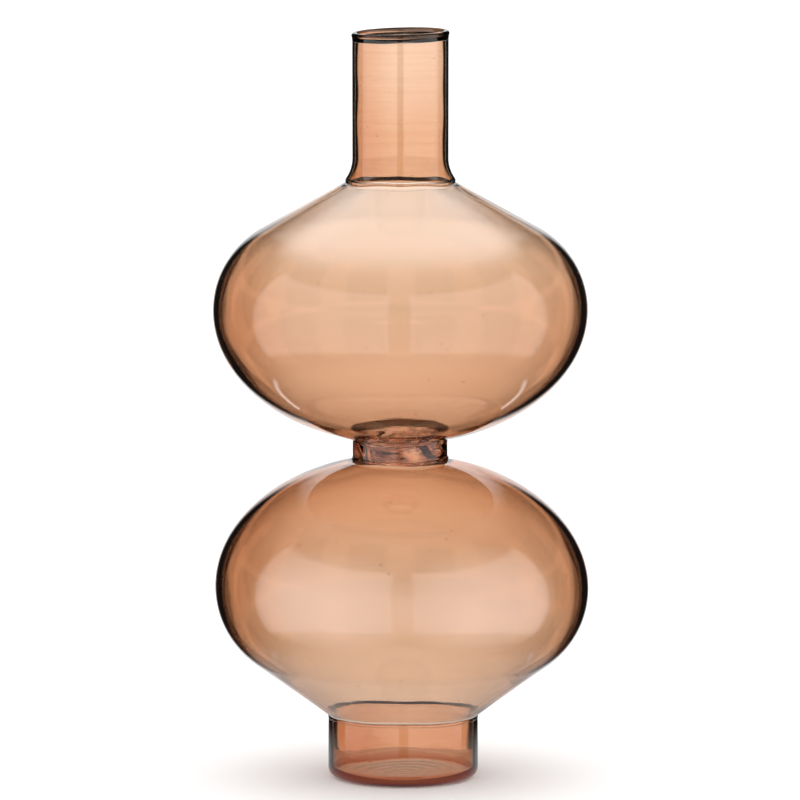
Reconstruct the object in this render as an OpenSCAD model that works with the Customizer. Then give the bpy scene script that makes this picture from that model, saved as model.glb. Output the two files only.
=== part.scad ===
// Double-bulb bud vase of blown glass: blown segments joined end to end by
// flame-fused weld beads. Millimetres, +Z up, origin under the middle of the foot.

/* [Bulbs] */
// Outside diameter of both bulbs at their widest
bulb_d = 130; // [100:1:170]
// Height of one bulb, from weld bead to weld bead
bulb_h = 89; // [72:1:112]
// Radius of the round belly on the side that slopes to the neck or the foot
belly_r = 32; // [25:1:40]

/* [Neck] */
// Outside diameter of the neck tube
neck_d = 33.2; // [26:0.2:42]
// Length of the neck tube, without the lip and the weld bead
neck_h = 48; // [30:1:80]
// How far the neck widens all round where it meets the upper bulb
neck_flare = 2.4; // [1:0.1:4]
// Radius of the curve that widens the foot of the neck
neck_flare_r = 12; // [6:1:16]
// Height of the fire-polished lip
lip_h = 3; // [2.4:0.1:5]
// How far the lip stands out from the neck
lip_bulge = 0.3; // [0.1:0.1:0.8]

/* [Waist] */
// Outside diameter of the waist collar
collar_d = 33; // [26:0.2:42]
// Height of the waist collar between its two weld beads
collar_h = 5.2; // [4:0.1:20]

/* [Foot] */
// Outside diameter of the foot cup
foot_d = 52; // [40:1:64]
// Height of the foot cup
foot_h = 21; // [16:0.5:40]
// Thickness of the closed bottom
floor_t = 3.2; // [2:0.1:6]
// Outside radius of the rounded bottom edge
foot_edge_r = 3.5; // [2:0.1:6]
// Inside radius between the floor and the wall of the foot
foot_inner_r = 3; // [1:0.1:6]

/* [Glass] */
// Thickness of the blown wall
wall = 1.8; // [1.2:0.1:2.4]
// Height of a weld bead between two segments
weld_h = 1.2; // [0.8:0.1:2]
// How far a weld bead stands out from the glass, inside and outside
weld_bulge = 0.4; // [0.1:0.1:0.8]

/* [Hidden] */
// Straight facets along one quarter of a bulb's outline, and along a small round
BULB_STEPS = 26;
EDGE_STEPS = 8;
$fn = 120;

// Outside and inside radii of each segment's ends
bulb_r = bulb_d / 2;
neck_r = neck_d / 2;
bore_r = neck_r - wall;
collar_r = collar_d / 2;
foot_r = foot_d / 2;
half_h = bulb_h / 2;

// The neck widens at its foot along an arc about flare_centre, which its bore follows
flare_turn = acos(1 - neck_flare / neck_flare_r);
flare_rise = neck_flare_r * sin(flare_turn);
flare_centre = [neck_r + neck_flare_r, flare_rise];
neck_end_r = neck_r + neck_flare;
neck_end_bore_r = flare_centre.x - sqrt(pow(neck_flare_r + wall, 2) - pow(flare_rise, 2));

// Levels of the segments' end faces, from the table up
foot_top = foot_h;
lower_bulb_base = foot_top + weld_h;
lower_bulb_top = lower_bulb_base + bulb_h;
collar_base = lower_bulb_top + weld_h;
collar_top = collar_base + collar_h;
upper_bulb_base = collar_top + weld_h;
upper_bulb_top = upper_bulb_base + bulb_h;
neck_base = upper_bulb_top + weld_h;
neck_top = neck_base + neck_h;

GLASS = [0.86, 0.62, 0.46, 0.6];
WELD = [0.62, 0.38, 0.24, 0.8];

// Points of an arc about [r, z], from one angle to the other
function arc(centre, radius, from, to, steps) =
    [for (i = [0 : steps])
        let (a = from + (to - from) * i / steps)
        centre + radius * [cos(a), sin(a)]];

// Sloped quarter of a bulb, "inset" inside its outer face: the belly's arc up to the
// angle where a straight line from it meets the end of the bulb, then that line
function slope_angle(end_r) =
    let (to_end = [end_r - (bulb_r - belly_r), half_h])
    atan2(to_end.y, to_end.x) - acos(belly_r / norm(to_end));

function sloped_quarter(end_r, inset) =
    let (angle = slope_angle(end_r))
    concat(arc([bulb_r - belly_r, 0], belly_r - inset, 0, angle, BULB_STEPS),
           [[end_r, half_h] - inset * [cos(angle), sin(angle)]]);

// Round quarter of a bulb: an ellipse from the equator through the end of the bulb,
// moved inwards along its own normal by "inset"
function round_quarter(end_r, inset) =
    let (rise = half_h / sqrt(1 - pow(end_r / bulb_r, 2)),
         last = acos(end_r / bulb_r))
    [for (i = [0 : BULB_STEPS])
        let (a = last * i / BULB_STEPS,
             normal = [rise * cos(a), bulb_r * sin(a)])
        [bulb_r * cos(a), rise * sin(a)] - inset * normal / norm(normal)];

function flipped(points) = [for (p = points) [p.x, -p.y]];
function backwards(points) = [for (i = [len(points) - 1 : -1 : 0]) points[i]];

// Half outline of a bulb, filled in to its axis: round side down, sloped side up
module bulb_outline(slope_end_r, inset) {
    sloped = sloped_quarter(slope_end_r, inset);
    rounded = flipped(round_quarter(collar_r, inset));
    points = concat(backwards(rounded), [for (i = [1 : len(sloped) - 1]) sloped[i]]);
    polygon(concat([[0, rounded[len(rounded) - 1].y]], points,
                   [[0, sloped[len(sloped) - 1].y]]));
}

// One blown bulb about its equator. The openings are as wide as the tubes they meet.
module bulb(slope_end_r, slope_bore_r) {
    difference() {
        rotate_extrude() bulb_outline(slope_end_r, 0);
        rotate_extrude() bulb_outline(slope_end_r, wall);
        cylinder(h = bulb_h, r = slope_bore_r);
        translate([0, 0, -bulb_h]) cylinder(h = bulb_h, r = collar_r - wall);
    }
}

// A fused ring between two segments: flat where it meets them, round inside and out
module weld_bead(outer_r, inner_r, base) {
    reach = atan2(weld_bulge, weld_h / 2);
    round_r = weld_h / 2 / sin(2 * reach);
    outer_c = [outer_r + weld_bulge - round_r, weld_h / 2];
    inner_c = [inner_r - weld_bulge + round_r, weld_h / 2];
    translate([0, 0, base])
        rotate_extrude()
            polygon(concat(
                arc(outer_c, round_r, -2 * reach, 2 * reach, EDGE_STEPS),
                arc(inner_c, round_r, 180 - 2 * reach, 180 + 2 * reach, EDGE_STEPS)));
}

module lip() {
    color(GLASS)
    translate([0, 0, neck_top])
    difference() {
        // the top of the lip is a half round across its whole thickness
        rotate_extrude()
            let (round_r = (wall + lip_bulge) / 2, middle = neck_r + lip_bulge - round_r)
            polygon(concat(
                [[0, 0], [neck_r, 0]],
                arc([middle, lip_h - round_r], round_r, 0, 180, 2 * EDGE_STEPS),
                [[0, lip_h - round_r]]));
        translate([0, 0, -1]) cylinder(h = lip_h + 2, r = bore_r);
    }
}

// The neck or its bore, as a solid: straight, and wider towards its foot along an arc
// that lies "inset" inside the outer face
module neck_form(inset) {
    reach = neck_flare_r + inset;
    turn = asin(flare_rise / reach);
    translate([0, 0, flare_rise]) cylinder(h = neck_h - flare_rise, r = neck_r - inset);
    rotate_extrude()
        polygon(concat(
            [[0, 0]],
            arc(flare_centre, reach, 180 + turn, 180, EDGE_STEPS),
            [[0, flare_rise]]));
}

module neck() {
    color(GLASS)
    translate([0, 0, neck_base])
    difference() {
        neck_form(0);
        neck_form(wall);
    }
}

module neck_weld() {
    color(WELD) weld_bead(neck_end_r, neck_end_bore_r, upper_bulb_top);
}

module upper_bulb() {
    color(GLASS)
    translate([0, 0, upper_bulb_base + half_h])
        bulb(neck_end_r, neck_end_bore_r);
}

module upper_waist_weld() {
    color(WELD) weld_bead(collar_r, collar_r - wall, collar_top);
}

module waist_collar() {
    color(GLASS)
    translate([0, 0, collar_base])
    difference() {
        cylinder(h = collar_h, r = collar_r);
        translate([0, 0, -1]) cylinder(h = collar_h + 2, r = collar_r - wall);
    }
}

module lower_waist_weld() {
    color(WELD) weld_bead(collar_r, collar_r - wall, lower_bulb_top);
}

module lower_bulb() {
    color(GLASS)
    translate([0, 0, lower_bulb_base + half_h])
    mirror([0, 0, 1])
        bulb(foot_r, foot_r - wall);
}

module foot_weld() {
    color(WELD) weld_bead(foot_r, foot_r - wall, foot_top);
}

module foot_cup() {
    color(GLASS)
    rotate_extrude()
        polygon(concat(
            [[0, 0]],
            arc([foot_r - foot_edge_r, foot_edge_r], foot_edge_r, -90, 0, EDGE_STEPS),
            [[foot_r, foot_top], [foot_r - wall, foot_top]],
            arc([foot_r - wall - foot_inner_r, floor_t + foot_inner_r], foot_inner_r,
                0, -90, EDGE_STEPS),
            [[0, floor_t]]));
}

lip();
neck();
neck_weld();
upper_bulb();
upper_waist_weld();
waist_collar();
lower_waist_weld();
lower_bulb();
foot_weld();
foot_cup();
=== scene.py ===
# %% [markdown]
# # A double-bulb bud vase of amber glass
# The vase is ten pieces of glass: a lip, a neck, two bulbs, a waist ring, a foot and the four beads of glass
# that fuse them together. The measured model gives each piece's place and size. This lesson gives each piece
# the shape and the clear, tinted substance of glass that was blown and joined by hand.

# %% Load the measured model
import math

import bpy
import numpy as np
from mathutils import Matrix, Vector


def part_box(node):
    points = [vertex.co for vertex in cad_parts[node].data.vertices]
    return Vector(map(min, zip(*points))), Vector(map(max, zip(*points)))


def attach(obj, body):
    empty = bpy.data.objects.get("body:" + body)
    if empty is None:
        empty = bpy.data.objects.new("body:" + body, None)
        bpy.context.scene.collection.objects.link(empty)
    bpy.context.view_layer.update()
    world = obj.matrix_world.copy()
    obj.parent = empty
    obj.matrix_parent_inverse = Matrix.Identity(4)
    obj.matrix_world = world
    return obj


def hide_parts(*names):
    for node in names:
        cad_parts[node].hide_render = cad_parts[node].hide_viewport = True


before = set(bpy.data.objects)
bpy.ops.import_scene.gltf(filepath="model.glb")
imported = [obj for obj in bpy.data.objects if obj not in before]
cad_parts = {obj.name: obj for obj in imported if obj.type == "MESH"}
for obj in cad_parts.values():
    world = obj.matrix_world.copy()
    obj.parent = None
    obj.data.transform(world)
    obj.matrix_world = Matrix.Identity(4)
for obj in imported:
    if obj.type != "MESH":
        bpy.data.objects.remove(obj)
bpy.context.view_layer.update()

# %% [markdown]
# ## Sizes
# Sizes are read from the measured model, in metres: how far each piece reaches from the vase's axis, and the
# heights between which it lies. The walls are set in this lesson, piece by piece: thickest round the waist,
# where most glass was gathered, and thinnest in the neck, which was drawn out.

# %% Levels and radii
MM = 0.001


def reach(part):
    """How far a piece reaches from the axis, and its lowest and highest level."""
    low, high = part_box(part)
    return high.x, low.z, high.z


BULB_R, LOWER_BASE, LOWER_TOP = reach("lower_bulb")
_, UPPER_BASE, UPPER_TOP = reach("upper_bulb")
RING_R, RING_BASE, RING_TOP = reach("waist_collar")
FOOT_R, _, FOOT_TOP = reach("foot_cup")
NECK_END_R, NECK_BASE, NECK_TOP = reach("neck")
LIP_R, LIP_BASE, LIP_TOP = reach("lip")
LIP_STANDS_OUT = 0.3 * MM
NECK_R = LIP_R - LIP_STANDS_OUT
BEAD_BULGE = reach("foot_weld")[0] - FOOT_R
NECK_WALL = 0.9 * MM
JOINT_GAP = 0.02 * MM
print("radii in mm: bulb, ring, neck, foot", [round(r / MM, 2) for r in (BULB_R, RING_R, NECK_R, FOOT_R)])

# %% [markdown]
# ## Outlines
# A blown piece is a figure of revolution, so the outline of its cut wall describes it. Each function returns
# points as rows of (distance from the axis, height), worked out as whole arrays.

# %% Lines and arcs


def line(start, end, count):
    """Points evenly spaced from start to end: start + t (end - start), with t from 0 to 1."""
    t = np.linspace(0, 1, count)[:, None]
    return np.asarray(start) + t * (np.asarray(end) - np.asarray(start))


def arc(centre, radius, start, end, count):
    """Points on a circle about centre, from one angle to the other: centre + radius (cos a, sin a)."""
    a = np.linspace(start, end, count)
    return np.asarray(centre) + radius * np.stack([np.cos(a), np.sin(a)], axis=1)


def joined(*parts):
    """The parts one after another, leaving out each point that repeats the one before it."""
    points = np.concatenate(parts)
    step = np.linalg.norm(np.diff(points, axis=0), axis=1)
    return points[np.concatenate([[True], step > 1e-7])]


def even(points, spacing):
    """The same line through new points that are the same distance apart, about spacing."""
    along = np.concatenate([[0], np.cumsum(np.linalg.norm(np.diff(points, axis=0), axis=1))])
    count = max(int(round(along[-1] / spacing)) + 1, 2)
    new = np.linspace(0, along[-1], count)
    return np.stack([np.interp(new, along, points[:, 0]), np.interp(new, along, points[:, 1])], axis=1)


def inwards(points, depth):
    """The line moved towards its left by depth, which may differ from point to point."""
    tangent = np.gradient(points, axis=0)
    tangent /= np.linalg.norm(tangent, axis=1)[:, None]
    left = np.stack([-tangent[:, 1], tangent[:, 0]], axis=1)
    return points + left * np.broadcast_to(depth, len(points))[:, None]


def smooth(x, low, high):
    """0 below low, 1 above high, and a smooth S between: 3 t t - 2 t t t."""
    t = np.clip((x - low) / (high - low), 0, 1)
    return t * t * (3 - 2 * t)


# %% [markdown]
# ## The hand in the glass
# Glass that was blown and joined in a flame is never quite round or straight. One rule bends every piece
# alike, so that neighbours still meet: the segments sit a little off one axis, each ring is slightly oval,
# the lip was cut slightly aslant, and the fused joints wander up and down.

# %% One rule for all pieces
JOINTS = [FOOT_TOP, LOWER_TOP, RING_TOP, UPPER_TOP]
JOINT_WANDER = [0.2 * MM, 0.2 * MM, 0.25 * MM, 0.35 * MM]
LEAN_LEVELS = [0, 0.08, 0.27, 0.44, 0.63, 1.0]
LEAN = [1.1, 1.1, 0.6, 0.0, 0.15, 0.15]
WANDER_REACH = 4 * MM
OVAL = 0.003
LIP_SLANT = 0.45 * MM
SLANT_REACH = 12 * MM


def handmade(r, theta, z):
    """Places (r, theta, z) on the leaning, slightly oval and wandering vase, as x, y and z."""
    height = z / LIP_TOP
    lean = np.interp(height, LEAN_LEVELS, LEAN) * MM
    oval = 1 + OVAL * np.cos(2 * theta + 0.9 + 5 * height)
    wander = sum(size * np.exp(-((z - level) / WANDER_REACH) ** 2)
                 * (np.sin(3 * theta + 2.1 * k) + 0.5 * np.sin(7 * theta + k))
                 for k, (level, size) in enumerate(zip(JOINTS, JOINT_WANDER)))
    aslant = LIP_SLANT * smooth(z, NECK_TOP - SLANT_REACH, LIP_TOP) * r / NECK_R * np.cos(theta)
    return r * oval * np.cos(theta) + lean, r * oval * np.sin(theta), z + wander + aslant


WAVES = 6


def ripple(theta, z, size, seed, most_turns=5):
    """A slow, uneven swell: the mean of WAVES waves sin(turns theta + rate z + phase), drawn by the seed."""
    rng = np.random.default_rng(seed)
    swell = 0
    for _ in range(WAVES):
        turns = int(rng.integers(0, most_turns))
        rate = rng.uniform(0.012, 0.072) * most_turns / MM
        swell = swell + np.sin(turns * theta + rate * z + rng.uniform(0, 6.28)) / WAVES
    return size * swell


# %% [markdown]
# ## Surfaces
# An outline that closes on itself is carried round the axis, which makes a ring-shaped skin with no open
# edge. An outline that starts and ends on the axis gets one point at each end there, as a cup needs. The
# points of the inner side are told apart, because that side has a swell of its own.

# %% Carry an outline round the axis
AROUND = 256
SHARP = math.radians(40)


def surface_of_revolution(name, outline, inner, swell=0.0, seed=1, one_side=0.0, most_turns=5):
    """Carries the outline round the axis. inner marks its inner side, which has a swell of its own.

    Point (i, j) stands at angle 2 pi i / AROUND and at outline point j. A cup's first and last points lie on
    the axis, where each becomes one pole with a fan of triangles round it. one_side moves the hollow
    sideways, so that the wall is thicker on the right.
    """
    cup = outline[0, 0] < 1e-7
    rings = outline[1:-1] if cup else outline
    inner = inner[1:-1] if cup else inner
    count = len(rings)
    theta = np.linspace(0, 2 * np.pi, AROUND, endpoint=False)[:, None]
    radius, level = (np.broadcast_to(column, (AROUND, count)) for column in rings.T)
    hollow = (ripple(theta, level, swell, seed, most_turns) - one_side * np.cos(theta)) * inner
    points = np.stack(handmade(radius + hollow, theta, level), axis=2).reshape(-1, 3)
    i, j = np.meshgrid(np.arange(AROUND), np.arange(count - 1 if cup else count), indexing="ij")
    after, above = (i + 1) % AROUND, (j + 1) % count
    faces = np.stack([i * count + j, after * count + j, after * count + above, i * count + above], axis=2)
    faces = faces.reshape(-1, 4).tolist()
    if cup:
        a = np.arange(AROUND) * count
        b = np.roll(a, -1)
        bottom, top = (np.array(handmade(0.0, 0.0, outline[end, 1])) for end in (0, -1))
        points = np.vstack([points, bottom, top])
        bottom_pole, top_pole = (np.full(AROUND, AROUND * count + end) for end in (0, 1))
        faces += np.stack([bottom_pole, b, a], axis=1).tolist()
        faces += np.stack([top_pole, a + count - 1, b + count - 1], axis=1).tolist()
    mesh = bpy.data.meshes.new(name)
    mesh.from_pydata(points.tolist(), [], faces)
    mesh.update()
    mesh.shade_smooth()
    mesh.set_sharp_from_angle(angle=SHARP)
    piece = bpy.data.objects.new(name, mesh)
    bpy.context.scene.collection.objects.link(piece)
    print(name, "has", len(faces), "faces and stands", round(float(np.ptp(points[:, 2])) / MM, 1), "mm")
    return piece


def walled(outer, inner):
    """A closed outline from an outer and an inner line, both from the bottom up, and its inner points."""
    return np.concatenate([outer, inner[::-1]]), np.concatenate([np.zeros(len(outer)), np.ones(len(inner))])


# %% [markdown]
# ## The two bulbs
# A bulb has a round side, a quarter of an ellipse towards the waist, and a sloped side: a round belly that
# runs into a straight cone towards the neck or the foot. The cone is the line from the end of the bulb that
# just touches the belly's circle. The same outline, turned over, serves the lower bulb.

# %% Outline of a bulb
BELLY_R = 32 * MM
POINTS_APART = 1.0 * MM


def bulb_outline(base, top, sloped_end_r, slope_up):
    """Outer outline from base to top. The sloped side is on top if slope_up, or else below."""
    base, top = base + JOINT_GAP, top - JOINT_GAP
    half = (top - base) / 2
    rise = half / math.sqrt(1 - (RING_R / BULB_R) ** 2)
    a = np.linspace(math.acos(RING_R / BULB_R), 0, 200)
    rounded = np.stack([BULB_R * np.cos(a), -rise * np.sin(a)], axis=1)
    belly = np.array([BULB_R - BELLY_R, 0])
    to_end = np.array([sloped_end_r, half]) - belly
    turn = math.atan2(to_end[1], to_end[0]) - math.acos(BELLY_R / np.linalg.norm(to_end))
    touch = belly + BELLY_R * np.array([math.cos(turn), math.sin(turn)])
    sloped = joined(arc(belly, BELLY_R, 0, turn, 100), line(touch, (sloped_end_r, half), 60))
    outline = even(joined(rounded, sloped), POINTS_APART)
    if not slope_up:
        outline = outline[::-1] * (1, -1)
    return outline + (0, (base + top) / 2)


# %% [markdown]
# The glass was gathered at the waist and blown out from there, so the wall is nearly even from the waist to
# the belly and thins towards the far end. The inner line is the outer one moved inwards by that wall, cut
# level where the next piece begins. The inside is a little uneven, and set off slightly to one side.

# %% Blow the bulbs
WAIST_WALL = 2.05 * MM
BELLY_WALL = 2.15 * MM
NECK_END_WALL = 1.4 * MM
FOOT_END_WALL = 1.5 * MM
BULB_SWELL = 0.12 * MM
ONE_SIDE = 0.04 * MM


def blown_bulb(name, base, top, end_r, slope_up, end_wall, seed):
    """A bulb whose wall is WAIST_WALL at the waist, BELLY_WALL at the belly and end_wall at the far end.

    Along the outline, from 0 at the waist to 1 at the far end, the wall changes in a smooth S up to 0.5, and
    in another one from there to 0.85.
    """
    outer = bulb_outline(base, top, end_r, slope_up)
    along = np.linspace(0, 1, len(outer))
    if not slope_up:
        along = 1 - along
    wall = (BELLY_WALL + (WAIST_WALL - BELLY_WALL) * (1 - smooth(along, 0.0, 0.5))
            + (end_wall - BELLY_WALL) * smooth(along, 0.5, 0.85))
    inner = inwards(outer, wall)
    inner[:, 1] = np.clip(inner[:, 1], outer[0, 1], outer[-1, 1])
    inner[0] = (outer[0, 0] - wall[0], outer[0, 1])
    inner[-1] = (outer[-1, 0] - wall[-1], outer[-1, 1])
    return surface_of_revolution(name, *walled(outer, inner), BULB_SWELL, seed, ONE_SIDE)


upper_bulb = blown_bulb("blown_upper_bulb", UPPER_BASE, UPPER_TOP, NECK_END_R, True, NECK_END_WALL, 11)
lower_bulb = blown_bulb("blown_lower_bulb", LOWER_BASE, LOWER_TOP, FOOT_R, False, FOOT_END_WALL, 12)

# %% [markdown]
# ## The neck and the lip
# The neck is a drawn tube that flares a little where it meets the upper bulb. Its top was held in the flame
# until the cut edge drew itself into a round bead, fatter than the wall. That bead bends light so strongly
# that it reads as a dark line round the mouth.

# %% Draw the neck and polish its lip
FLARE_R = 12 * MM


def neck_line(inset, count):
    """A line up the neck, inset from its skin: an arc about one centre, and a straight line above it."""
    centre = np.array([NECK_R + FLARE_R, 0])
    turn = math.acos(1 - (NECK_END_R - NECK_R) / FLARE_R)
    centre[1] = NECK_BASE + JOINT_GAP + FLARE_R * math.sin(turn)
    own_turn = math.asin((centre[1] - NECK_BASE - JOINT_GAP) / (FLARE_R + inset))
    return joined(arc(centre, FLARE_R + inset, math.pi + own_turn, math.pi, count),
                  line((NECK_R - inset, centre[1]), (NECK_R - inset, NECK_TOP - JOINT_GAP), 50))


NECK_SWELL = 0.03 * MM
neck_walls = walled(neck_line(0, 30), neck_line(NECK_WALL, 30))
neck = surface_of_revolution("drawn_neck", *neck_walls, NECK_SWELL, 13)

LIP_WALL = 2.1 * MM
LIP_OPENS = 0.16 * math.pi
lip_mid = (LIP_R - LIP_WALL / 2, LIP_TOP - LIP_WALL / 2)
lip_outline = joined([(NECK_R - NECK_WALL, LIP_BASE + JOINT_GAP), (NECK_R, LIP_BASE + JOINT_GAP)],
                     arc(lip_mid, LIP_WALL / 2, -LIP_OPENS, math.pi + LIP_OPENS, 40))
lip = surface_of_revolution("polished_lip", lip_outline, np.zeros(len(lip_outline)))

# %% [markdown]
# ## The waist ring and the beads
# A short ring of tube joins the bulbs. It was worked hottest and longest, so its inside is the least even
# part of the vase. At each of the four joints the melted glass stands out in a thin, round bead.

# %% Make the ring and the four beads
RING_WALL = 2.4 * MM
RING_SWELL = 1.1 * MM
ring_outer, ring_inner = (line((r, RING_BASE + JOINT_GAP), (r, RING_TOP - JOINT_GAP), 24)
                          for r in (RING_R, RING_R - RING_WALL))
ring = surface_of_revolution("waist_ring", *walled(ring_outer, ring_inner), RING_SWELL, 14, most_turns=12)


LOW_BULGE = 0.1 * MM


def fused_bead(name, part, wall, bulge):
    """A band of glass whose outside and inside are both arcs that stand out by bulge."""
    r, base, top = reach(part)
    r -= BEAD_BULGE
    half = (top - base) / 2 - JOINT_GAP
    lean = math.atan2(bulge, half)
    round_r = half / math.sin(2 * lean)
    middle = (base + top) / 2
    outer = arc((r + bulge - round_r, middle), round_r, -2 * lean, 2 * lean, 16)
    inner = arc((r - wall - bulge + round_r, middle), round_r, math.pi + 2 * lean, math.pi - 2 * lean, 16)
    return surface_of_revolution(name, *walled(outer, inner))


neck_bead = fused_bead("neck_bead", "neck_weld", NECK_WALL, LOW_BULGE / 2)
upper_waist_bead = fused_bead("upper_waist_bead", "upper_waist_weld", WAIST_WALL, LOW_BULGE)
lower_waist_bead = fused_bead("lower_waist_bead", "lower_waist_weld", WAIST_WALL, BEAD_BULGE)
foot_bead = fused_bead("foot_bead", "foot_weld", FOOT_END_WALL, LOW_BULGE)

# %% [markdown]
# ## The foot
# The foot is a short cup: a tube closed below by a floor. Pressed flat while it was soft and turning, its
# floor keeps faint rings, which the outline has as low waves.

# %% Turn the foot
EDGE_R = 3.5 * MM
INNER_CORNER_R = 3 * MM
FOOT_WALL = 1.55 * MM
FLOOR_T = 1.8 * MM
FOOT_SWELL = 0.08 * MM
RING_RISE = 0.03 * MM
RING_APART = 4.6 * MM
floor_r = FOOT_R - FOOT_WALL - INNER_CORNER_R
floor_line = line((floor_r, FLOOR_T), (0, FLOOR_T), 60)
wave = np.cos(2 * math.pi * floor_line[:, 0] / RING_APART)
floor_line[:, 1] += RING_RISE * wave * smooth(floor_r - floor_line[:, 0], 0, 2 * MM)
foot_outer = joined(line((0, 0), (FOOT_R - EDGE_R, 0), 30),
                    arc((FOOT_R - EDGE_R, EDGE_R), EDGE_R, -math.pi / 2, 0, 16),
                    line((FOOT_R, EDGE_R), (FOOT_R, FOOT_TOP - JOINT_GAP), 24))
inner_r = FOOT_R - FOOT_WALL
foot_inner = joined(line((inner_r, FOOT_TOP - JOINT_GAP), (inner_r, FLOOR_T + INNER_CORNER_R), 24),
                    arc((floor_r, FLOOR_T + INNER_CORNER_R), INNER_CORNER_R, 0, -math.pi / 2, 14), floor_line)
foot = surface_of_revolution("foot_cup_glass", *walled(foot_outer, foot_inner[::-1]), FOOT_SWELL, 15)

# %% [markdown]
# Each piece stands for one piece of the measured model and moves with the one body that the vase is.

# %% Put each piece in place of its part
blown = {"upper_bulb": upper_bulb, "lower_bulb": lower_bulb, "neck": neck, "waist_collar": ring,
         "foot_cup": foot}
fused = {"neck_weld": neck_bead, "upper_waist_weld": upper_waist_bead, "lower_waist_weld": lower_waist_bead,
         "foot_weld": foot_bead}
pieces = {**blown, "lip": lip, **fused}
for part, piece in pieces.items():
    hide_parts(part)
    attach(piece, "root")
    "weld_glass" if part in fused else "tinted_glass"
print(len(pieces), "pieces, of which", len(fused), "are fused beads")

# %% [markdown]
# ## Shader sums
# Patterns in a shader are sums on values. A small class lets them be written as Python expressions, and one
# function adds any other node.

# %% A value that adds up in a shader


class Value:
    """A socket that does arithmetic: Value(s) * 2 + other adds the Math nodes for it."""

    def __init__(self, socket):
        self.socket = socket
        self.tree = socket.id_data

    def _math(self, operation, a, b=0.0):
        sums = node(self.tree, "ShaderNodeMath", {"operation": operation}, n0=a, n1=b)
        return Value(sums.outputs[0])

    def __add__(self, other):
        return self._math("ADD", self, other)

    __radd__ = __add__

    def __sub__(self, other):
        return self._math("SUBTRACT", self, other)

    def __rsub__(self, other):
        return self._math("SUBTRACT", other, self)

    def __mul__(self, other):
        return self._math("MULTIPLY", self, other)

    __rmul__ = __mul__

    def __truediv__(self, other):
        return self._math("DIVIDE", self, other)

    def __rtruediv__(self, other):
        return self._math("DIVIDE", other, self)

    def __abs__(self):
        return self._math("ABSOLUTE", self)

    def apply(self, operation, other=0.0):
        """Any other operation of the Math node, such as SINE or MAXIMUM."""
        return self._math(operation, self, other)


def node(tree, kind, settings=(), **sockets):
    """Adds a node: its settings first, then the values or links of its sockets, by name or by number (n0)."""
    added = tree.nodes.new(kind)
    for key, value in dict(settings).items():
        setattr(added, key, value)
    for key, value in sockets.items():
        spot = added.inputs[int(key[1:]) if key[0] == "n" and key[1:].isdigit() else key.replace("_", " ")]
        if isinstance(value, Value):
            value = value.socket
        if isinstance(value, bpy.types.NodeSocket):
            tree.links.new(value, spot)
        else:
            spot.default_value = value
    return added


def ramp(value, low, high):
    """From 0 at low to 1 at high, in a smooth S."""
    mapped = node(value.tree, "ShaderNodeMapRange", {"interpolation_type": "SMOOTHSTEP"},
                  Value=value, From_Min=low, From_Max=high)
    return Value(mapped.outputs[0])


def band(value, low, high, soft):
    """1 between low and high, and 0 outside, with edges that take soft on each side."""
    return ramp(value, low - soft, low + soft) * (1 - ramp(value, high - soft, high + soft))


# %% [markdown]
# ## The glass
# The colour is in the substance: the further light travels in it, the more blue and green it loses. So a
# thick edge is dark and a thin belly is pale. The skin adds what is uneven in it: slow clouds, and fine level
# streaks that were left where the gather was turned. Near one level the bulbs, the neck, the foot and the
# lip are darker: next to the waist this is painted shade, where the two bulbs shade each other, and along
# the very top of the lip a painted near-black line, painted shade for the dark that the round bead bends in;
# in the neck and the foot the colour only grows deeper towards that level. The left side is a little deeper
# too, painted shade. Here and there a seed, a bubble as small as a pinhead, sits in the skin.

# %% Mix the glass
LOST_PER_METRE = np.array([72.0, 190.0, 294.0])
SEEDS_PER_METRE = 115.0
SEED_COLOUR = (0.42, 0.25, 0.16, 1)
SEED_RADIUS = (0.03, 0.05)
STREAK_SCALE = (16, 16, 900)
SKIN_SCALE = (60, 60, 160)
# Painted shade: the colour that the left side of each piece is multiplied by.
PAINTED_LEFT_SHADE = (0.94, 0.86, 0.8, 1)


def stretched_noise(tree, place, scale, detail=2.0):
    """Noise from about 0 to 1, with its own scale along each axis, in waves per metre."""
    moved = node(tree, "ShaderNodeMapping", n0=place, Scale=scale)
    noise = node(tree, "ShaderNodeTexNoise", Vector=moved.outputs[0], Scale=1.0, Detail=detail)
    return Value(noise.outputs["Fac"])


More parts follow.
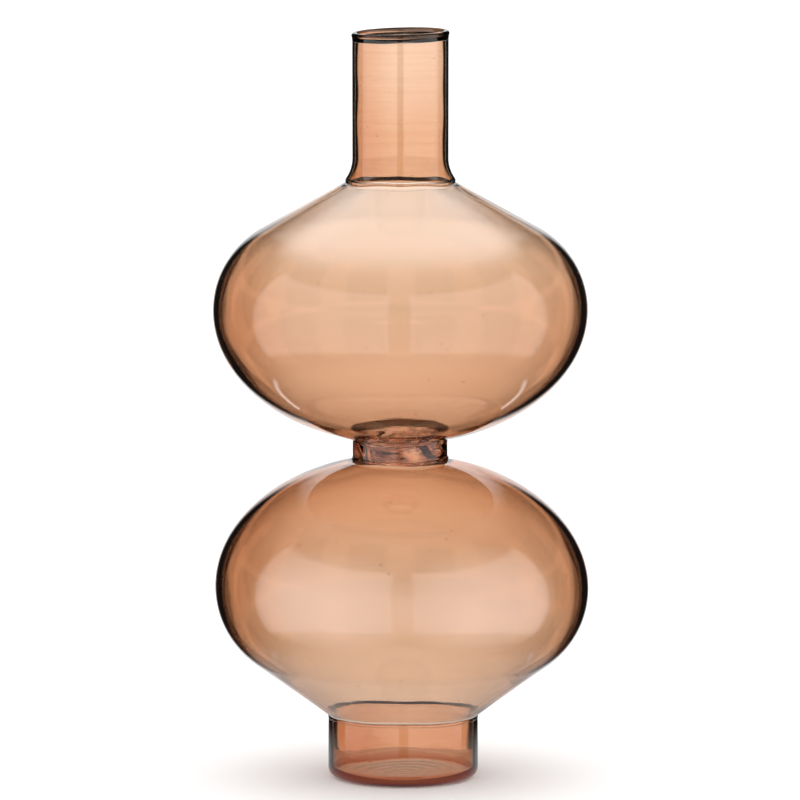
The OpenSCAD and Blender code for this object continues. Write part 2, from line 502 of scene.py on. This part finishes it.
def glass(name, strength, clear, deep, deep_near=(), left=(0.035, 0.058), cloud=22, streaky=0.35, bump=0.02):
    """Clear tinted glass, whose skin goes from the clear colour to the deep one.

    After a path in the substance, the light left is exp(-strength * LOST_PER_METRE * path). On the skin, the
    share of the deep colour is the clouds, cloud waves to the metre, plus the streaks, which have the share
    streaky. deep_near=(level, near, far) adds most of the deep colour at a level: all of that up to near
    from it, and none beyond far; at the waist of the bulbs and the top of the lip this is painted shade.
    left=(near, far) is how far to the left the painted shade of the left side begins and is full. bump
    is how uneven the skin is, in millimetres.
    """
    material = bpy.data.materials.new(name)
    material.use_nodes = True
    tree = material.node_tree
    tree.nodes.clear()
    place = node(tree, "ShaderNodeTexCoord").outputs["Object"]
    clouds = ramp(stretched_noise(tree, place, (cloud, cloud, 1.4 * cloud)), 0.35, 0.65)
    streaks = ramp(stretched_noise(tree, place, STREAK_SCALE, 3.0), 0.42, 0.68)
    seeds = node(tree, "ShaderNodeTexVoronoi", Vector=place, Scale=SEEDS_PER_METRE)
    seed = 1 - ramp(Value(seeds.outputs["Distance"]), *SEED_RADIUS)
    sides = node(tree, "ShaderNodeSeparateXYZ", Vector=place).outputs
    depth = clouds * (0.7 - streaky) + streaks * streaky
    # Near that level the skin is darker: painted shade at the waist of the bulbs and at the top of the lip.
    if deep_near:
        level, near, far = deep_near
        depth = depth * 0.5 + (1 - ramp(abs(Value(sides[2]) - level), near, far)) * 0.8
    shade = node(tree, "ShaderNodeMix", {"data_type": "RGBA"}, n0=depth, n6=clear, n7=deep)
    # Painted shade: the skin is made deeper towards the left side.
    left_shaded = node(tree, "ShaderNodeMix", {"data_type": "RGBA", "blend_type": "MULTIPLY"},
                 n0=ramp(Value(sides[0]) * -1, *left), n6=shade.outputs[2], n7=PAINTED_LEFT_SHADE)
    spotted = node(tree, "ShaderNodeMix", {"data_type": "RGBA"},
                   n0=seed * 0.75, n6=left_shaded.outputs[2], n7=SEED_COLOUR)
    skin = stretched_noise(tree, place, SKIN_SCALE) * 0.6 + streaks * 0.12 + seed * 1.5
    raised = node(tree, "ShaderNodeBump", Strength=0.6, Distance=bump * MM, Height=skin)
    surface = node(tree, "ShaderNodeBsdfPrincipled", Base_Color=spotted.outputs[2], Roughness=0.0, IOR=1.5,
                   Transmission_Weight=1.0, Normal=raised.outputs[0])
    lost = LOST_PER_METRE * strength
    density = float(lost.max() / 0.9)
    inside = node(tree, "ShaderNodeVolumeAbsorption", Color=(*(1 - lost / density), 1), Density=density)
    node(tree, "ShaderNodeOutputMaterial", Surface=surface.outputs[0], Volume=inside.outputs[0])
    print(name, "keeps", np.round(np.exp(-lost * 2 * MM), 2), "of red, green and blue through 2 mm")
    return material


# %% [markdown]
# One batch of glass made the whole vase, but a thin neck looks as deep as a thick bulb only if its glass is
# stronger, so each segment has its own mix. The ring at the waist was worked hottest: it is cloudy and uneven
# all through. The bulbs are painted darker next to the waist, painted shade where each shades the other. The
# lip is painted nearly black along its very top, where the bead is roundest: painted shade for the dark line
# that the bead bends in.

# %% Mixes for the segments
# Both bulbs are darker next to the waist: painted shade where the two bulbs shade each other.
bulb_glass = glass("amber_bulb_glass", 1.05, (0.965, 0.995, 1, 1), (0.955, 0.94, 0.925, 1),
                   deep_near=(0.135, 0.018, 0.05))
lower_glass = glass("deep_bulb_glass", 1.3, (0.915, 0.96, 0.99, 1), (1, 0.975, 0.95, 1),
                    deep_near=(0.112, 0.01, 0.035))
neck_glass = glass("amber_neck_glass", 2.15, (1, 1, 1, 1), (0.91, 0.77, 0.64, 1),
                   deep_near=(0.209, 0.0, 0.05), left=(0, 0.016))
ring_glass = glass("amber_ring_glass", 1.1, (1, 0.87, 0.82, 1), (0.24, 0.08, 0.09, 1),
                   cloud=170, streaky=0, bump=0.7)
foot_glass = glass("amber_foot_glass", 2.3, (0.99, 0.98, 0.97, 1), (0.94, 0.76, 0.66, 1),
                   deep_near=(0.001, 0.0005, 0.004), left=(-0.004, 0.018))
# The top of the lip is painted nearly black: painted shade for the dark line that its round bead bends in.
lip_glass = glass("amber_lip_glass", 2.0, (0.9, 0.8, 0.72, 1), (0.05, 0.04, 0.04, 1),
                  deep_near=(0.2594, 0.0005, 0.0009), left=(0, 0.016))

# %% [markdown]
# Each piece has one glass, because it is one closed body: two substances in one skin would each count as
# filling it. A thin wall is black at its edge, where light glances along inside it and comes out far from
# any window. In the neck, the lip and the foot the edge is made cleanly black: a mirrored ray doesn't meet
# these pieces again, so light that glances along inside them is lost. It also keeps the neck's image off the
# shoulder of the bulb below it.

# %% Give each piece its glass
finishes = {"lip": lip_glass, "neck": neck_glass, "neck_weld": neck_glass,
            "upper_waist_weld": ring_glass, "waist_collar": ring_glass, "lower_waist_weld": ring_glass,
            "lower_bulb": lower_glass, "foot_weld": foot_glass, "foot_cup": foot_glass}
for part, piece in pieces.items():
    piece.data.materials.append(finishes.get(part, bulb_glass))
    print(piece.name, "is of", piece.data.materials[0].name)
for piece in (lip, neck, neck_bead, foot_bead, foot):
    piece.visible_glossy = False

# %% [markdown]
# ## The studio
# Clear glass shows nothing but what stands round it, so the studio is drawn on the sky as a function of
# direction, in degrees. What is seen through the glass: a white backdrop, repeated every eighth of a turn so
# that a camera on any side has one, with dark between the backdrops, which draws the edges. Above and below
# there is light again. What is mirrored on the skin: two large soft lamps in front with a narrow gap between
# them, a faint haze, and low and high gleams from behind, which pale the outermost edges.

# %% Light from every direction
WHITE = (1, 1, 1, 1)
DEGREES = 180 / math.pi
BACKDROP_EVERY = 45
DARK = 0.012
world = bpy.data.worlds.new("studio")
bpy.context.scene.world = world
world.use_nodes = True
sky = world.node_tree
sky.nodes.clear()
toward = node(sky, "ShaderNodeSeparateXYZ", Vector=node(sky, "ShaderNodeTexCoord").outputs["Generated"])
east, north, high = (Value(output) for output in toward.outputs)
azimuth = east.apply("ARCTAN2", north) * DEGREES
elevation = high.apply("ARCSINE") * DEGREES
off_front = abs(east.apply("ARCTAN2", north * -1)) * DEGREES
off_middle = abs((azimuth / BACKDROP_EVERY + 0.5).apply("FLOORED_MODULO", 1.0) - 0.5) * BACKDROP_EVERY

overhead = ramp(elevation, 30, 80) * 1.2
below = 1 - ramp(elevation, -54, -40)
backdrop = (1 - ramp(off_middle, 8, 10.5)) * band(elevation, -37, 14, 4)
above = band(elevation, 11, 16, 1.5)
through = (DARK + backdrop.apply("MAXIMUM", above) * 1.26).apply("MAXIMUM", overhead.apply("MAXIMUM", below))

lamps = band(off_front, 7, 103, 2) * band(elevation, -31, 40, 3)
haze = band(elevation, -31, 40, 5) * 0.25
in_front = (0.03 + haze + lamps * 1.25).apply("MAXIMUM", overhead * 0.35)
sideways = abs(east) / high.apply("MAXIMUM", 0.02)
high_gleam = (1 - ramp(sideways, 0.45, 0.75)) * ramp(elevation, 9.5, 13) * 1.3
low_gleam = band(off_front, 124, 166, 5) * band(elevation, -43, -41, 0.9) * 2.2
window = DARK + ramp(off_front, 164, 172) * ramp(elevation, -42, -32)
behind = (window.apply("MAXIMUM", high_gleam) + low_gleam).apply("MAXIMUM", overhead * 0.35)
is_behind = ramp(off_front, 99, 105)
mirrored = in_front * (1 - is_behind) + behind * is_behind

# %% [markdown]
# The sky tells the two kinds of light apart by the path of each ray: one that came through glass last sees
# the first part, and one that was mirrored sees the second. The camera itself and the floor see plain white.

# %% Join the two parts of the sky
PLAIN_LIGHT = 1.45
path = node(sky, "ShaderNodeLightPath").outputs
by_mirror = 1 - Value(path["Is Transmission Ray"])
on_floor = Value(path["Diffuse Depth"])
plain = Value(path["Is Camera Ray"]).apply("MAXIMUM", on_floor).apply("MINIMUM", 1.0)
seen = (through * (1 - by_mirror) + mirrored * by_mirror) * (1 - plain) + plain * PLAIN_LIGHT
shining = node(sky, "ShaderNodeBackground", Color=WHITE, Strength=seen)
node(sky, "ShaderNodeOutputWorld", Surface=shining.outputs[0])
print("the sky is drawn by", len(sky.nodes), "nodes")

# %% [markdown]
# The floor is plain and pale, and the glass doesn't see it. Three white papers serve the glass alone. A small
# one under the foot sends light up through its base. A wide one round it lies on the lower half as a pale
# gloss. The third is a canopy above and behind the vase, which pales the shoulders of the upper bulb.

# %% Floor and papers


def flat_square(name, half, level):
    """A level square about the axis."""
    mesh = bpy.data.meshes.new(name)
    mesh.from_pydata([(-half, -half, level), (half, -half, level), (half, half, level), (-half, half, level)],
                     [], [(0, 1, 2, 3)])
    piece = bpy.data.objects.new(name, mesh)
    bpy.context.scene.collection.objects.link(piece)
    return piece


def lit_paper(name, strength, mirrored_only, near, far):
    """Paper that shines with strength up to near from its middle, and less until it is clear at far.

    If mirrored_only, it is also clear to light that came through glass.
    """
    material = bpy.data.materials.new(name)
    material.use_nodes = True
    tree = material.node_tree
    tree.nodes.clear()
    place = node(tree, "ShaderNodeTexCoord").outputs["Object"]
    off_middle = node(tree, "ShaderNodeVectorMath", {"operation": "LENGTH"}, n0=place).outputs["Value"]
    share = ramp(Value(off_middle), near, far)
    if mirrored_only:
        through_glass = Value(node(tree, "ShaderNodeLightPath").outputs["Is Transmission Ray"])
        share = share.apply("MAXIMUM", through_glass)
    shine = node(tree, "ShaderNodeEmission", Color=WHITE, Strength=strength)
    open_air = node(tree, "ShaderNodeBsdfTransparent")
    mixed = node(tree, "ShaderNodeMixShader", n0=share, n1=shine.outputs[0], n2=open_air.outputs[0])
    node(tree, "ShaderNodeOutputMaterial", Surface=mixed.outputs[0])
    return material


floor = flat_square("pale_floor", 12, 0)
floor.visible_transmission = False
floor.visible_glossy = False
floor_paint = bpy.data.materials.new("pale_floor_paint")
floor_paint.use_nodes = True
paint = floor_paint.node_tree.nodes["Principled BSDF"].inputs
paint["Base Color"].default_value = (0.93, 0.93, 0.93, 1)
paint["Roughness"].default_value = 0.9
paint["Specular IOR Level"].default_value = 0.0
floor.data.materials.append(floor_paint)

paper = flat_square("white_paper", 0.055, -0.0005)
paper.visible_glossy = False
paper.data.materials.append(lit_paper("lit_paper", 0.85, mirrored_only=False, near=1, far=2))
wide_paper = flat_square("wide_white_paper", 0.13, -0.001)
wide_paper.visible_transmission = False
wide_paper.data.materials.append(lit_paper("lit_wide_paper", 0.5, mirrored_only=True, near=0.06, far=0.13))
canopy = flat_square("canopy", 0.9, 0)
canopy.location = (0, 0.3, 0.8)
canopy.visible_transmission = False
canopy.data.materials.append(lit_paper("lit_canopy", 2.8, mirrored_only=True, near=0.25, far=0.68))
for sheet in (paper, wide_paper, canopy):
    sheet.visible_camera = False
    sheet.visible_diffuse = False
    sheet.visible_shadow = False
    print(sheet.name, "is", round(sheet.dimensions.x, 2), "m wide")

# %% [markdown]
# Some light is meant for some pieces alone, as cards and flags do it in a studio: the canopy for the upper
# bulb, the wide paper for the lower bulb and the foot, and two soft oval lamps, low in front on each side,
# for the lower bulb.

# %% Light for some pieces alone
LAMP_SIZE = (1.9, 1.8)
LAMP_AWAY = 0.5
LAMP_LEVEL = 0.06
LAMP_GLOW = 3.3


def lit_alone(name, *lit):
    """A collection of the pieces that a light is for."""
    collection = bpy.data.collections.new(name)
    for piece in lit:
        collection.objects.link(piece)
    return collection


def low_lamp(name, turn, lit):
    """An oval lamp turned by turn degrees from straight in front, facing the axis, and dimmer to its rim."""
    data = bpy.data.lights.new(name, "AREA")
    data.shape = "RECTANGLE"
    data.size, data.size_y = LAMP_SIZE
    data.energy = LAMP_GLOW * math.pi * data.size * data.size_y
    data.use_nodes = True
    tree = data.node_tree
    tree.nodes.clear()
    across = node(tree, "ShaderNodeNewGeometry").outputs["Parametric"]
    flat = node(tree, "ShaderNodeVectorMath", {"operation": "MULTIPLY"}, n0=across, n1=(1, 1, 0)).outputs[0]
    off_middle = node(tree, "ShaderNodeVectorMath", {"operation": "DISTANCE"}, n0=flat, n1=(0.5, 0.5, 0))
    shine = node(tree, "ShaderNodeEmission", Strength=1 - ramp(Value(off_middle.outputs["Value"]), 0.0, 0.46))
    node(tree, "ShaderNodeOutputLight", Surface=shine.outputs[0])
    lamp = bpy.data.objects.new(name, data)
    bpy.context.scene.collection.objects.link(lamp)
    angle = math.radians(turn)
    lamp.location = (LAMP_AWAY * math.sin(angle), -LAMP_AWAY * math.cos(angle), LAMP_LEVEL)
    lamp.rotation_euler = (math.pi / 2, 0, angle)
    lamp.visible_camera = False
    lamp.visible_transmission = False
    lamp.light_linking.receiver_collection = lit
    print(name, "stands at", [round(value, 2) for value in lamp.location])


only_lower = lit_alone("lower_bulb_only", lower_bulb)
canopy.light_linking.receiver_collection = lit_alone("upper_bulb_only", upper_bulb)
wide_paper.light_linking.receiver_collection = lit_alone("near_the_table", lower_bulb, foot, foot_bead)
low_lamp("left_low_lamp", -46, only_lower)
low_lamp("right_low_lamp", 50, only_lower)

# %% [markdown]
# ## The camera
# A long lens, far off and a little above, so that the sides of the neck stay parallel and the rims are thin
# ovals.

# %% Place the camera
CAM_DIST = 2.6
CAM_RISE = math.radians(7.6)
FILM_WIDTH = 36
LENS = 338
AIM = Vector((0, 0, 0.132))
camera_data = bpy.data.cameras.new("camera")
camera = bpy.data.objects.new("camera", camera_data)
bpy.context.scene.collection.objects.link(camera)
camera.location = AIM + CAM_DIST * Vector((0, -math.cos(CAM_RISE), math.sin(CAM_RISE)))
camera.rotation_euler = (math.pi / 2 - CAM_RISE, 0, 0)
camera_data.sensor_width = FILM_WIDTH
camera_data.lens = LENS
camera_data.clip_end = 60
bpy.context.scene.camera = camera
bpy.context.scene.view_settings.view_transform = "Standard"
print("the camera sees", round(CAM_DIST * FILM_WIDTH / LENS, 3), "m across at the vase")
